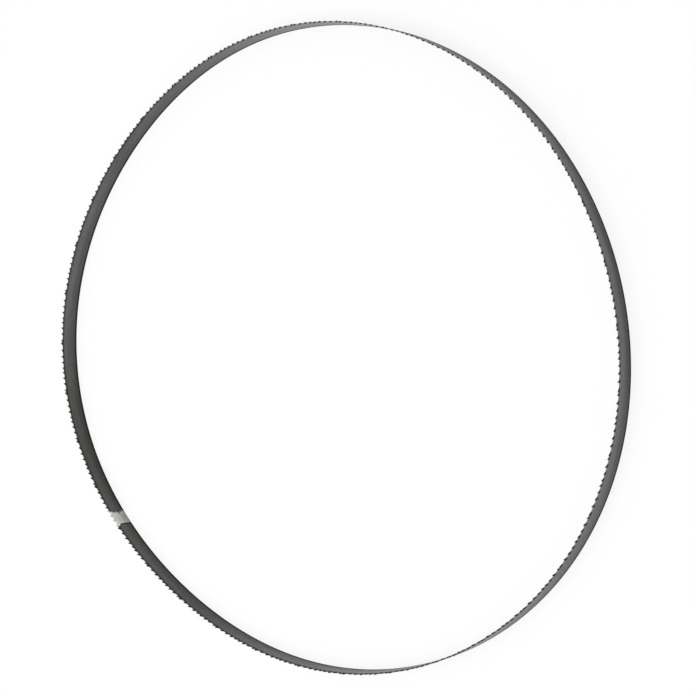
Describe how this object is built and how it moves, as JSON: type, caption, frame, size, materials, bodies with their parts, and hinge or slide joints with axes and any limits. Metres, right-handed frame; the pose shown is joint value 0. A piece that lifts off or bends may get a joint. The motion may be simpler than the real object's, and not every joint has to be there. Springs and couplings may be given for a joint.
{
  "type": "band saw blade",
  "caption": "Endless narrow steel band saw blade, a slightly oval springy loop with hooked variable-pitch teeth on one edge.",
  "frame": {"origin": "middle of the loop's box, on the plane of the back edge that it lies on", "axes": "+Z from the back edge to the tooth tips, +X along the long axis of the slightly oval loop"},
  "size_m": [0.3794, 0.349, 0.0127],
  "materials": {
    "band_steel": "dark grey oxidised steel with a fine lengthwise grain, and one bright ground patch at the weld"
  },
  "bodies": {
    "root": {"blade": "band_steel"}
  },
  "joints": []
}
